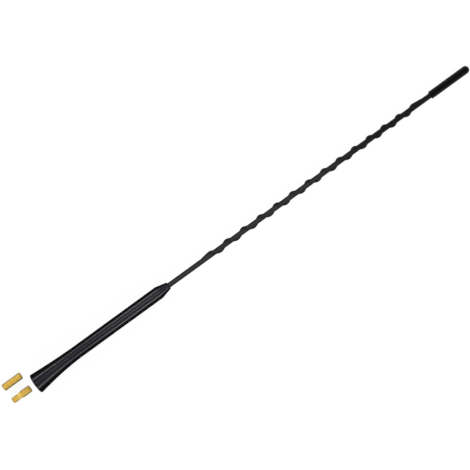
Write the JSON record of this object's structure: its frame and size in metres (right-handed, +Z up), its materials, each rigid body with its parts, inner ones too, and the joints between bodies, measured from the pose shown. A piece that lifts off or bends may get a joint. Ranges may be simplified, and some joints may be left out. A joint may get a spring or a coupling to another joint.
{
  "type": "car mast aerial",
  "caption": "Screw-on car roof mast aerial: flared black base, whip with a spiral ridge, round tip cap and loose brass fixing studs beside its foot.",
  "frame": {"origin": "where the mast's axis leaves the flat end of the foot", "axes": "+X runs along the mast from the foot to the tip, +Z is up from the surface that the aerial lies on, +Y is the side on which the straight stud lies"},
  "size_m": [0.4326, 0.023, 0.0161],
  "materials": {
    "base_plastic": "satin black moulded plastic with a soft lengthwise grain",
    "sheath_plastic": "matt black shrunk sleeve",
    "cap_rubber": "matt black rubber",
    "stud_brass": "bright turned brass",
    "insert_brass": "turned brass, slightly dulled",
    "rod_steel": "drawn spring steel",
    "wire_steel": "drawn wire"
  },
  "bodies": {
    "root": {"base_moulding": "base_plastic", "threaded_insert": "insert_brass", "whip_rod": "rod_steel", "spiral_wire": "wire_steel", "whip_sheath": "sheath_plastic", "tip_cap": "cap_rubber", "straight_stud": "stud_brass", "stepped_stud": "stud_brass"}
  },
  "joints": []
}
